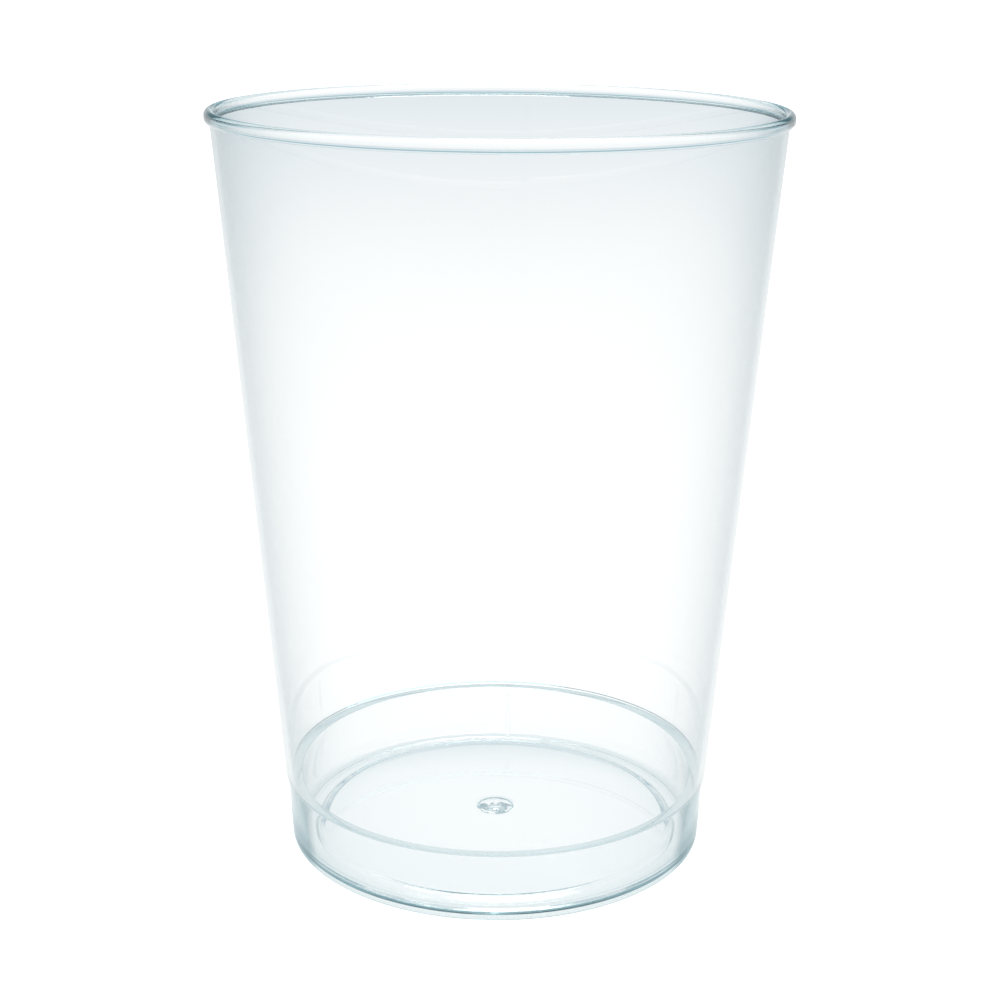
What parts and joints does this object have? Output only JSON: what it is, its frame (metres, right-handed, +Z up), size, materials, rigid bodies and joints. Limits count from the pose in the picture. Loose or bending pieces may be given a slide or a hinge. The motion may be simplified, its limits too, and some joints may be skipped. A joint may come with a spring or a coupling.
{
  "type": "plastic tumbler cup",
  "caption": "Clear moulded tumbler: thin leaning wall, round rim bead, stepped foot with a stacking ledge inside, and a raised floor on a standing ring.",
  "frame": {"origin": "middle of the base, on the ground", "axes": "+Z up along the cup's axis; the upright rib inside the foot is at the back, near +Y"},
  "size_m": [0.08, 0.08, 0.1072],
  "materials": {
    "clear_plastic": "clear, glossy, with a faint blue-green tint where the plastic is seen edge on"
  },
  "bodies": {
    "root": {"tumbler": "clear_plastic"}
  },
  "joints": []
}
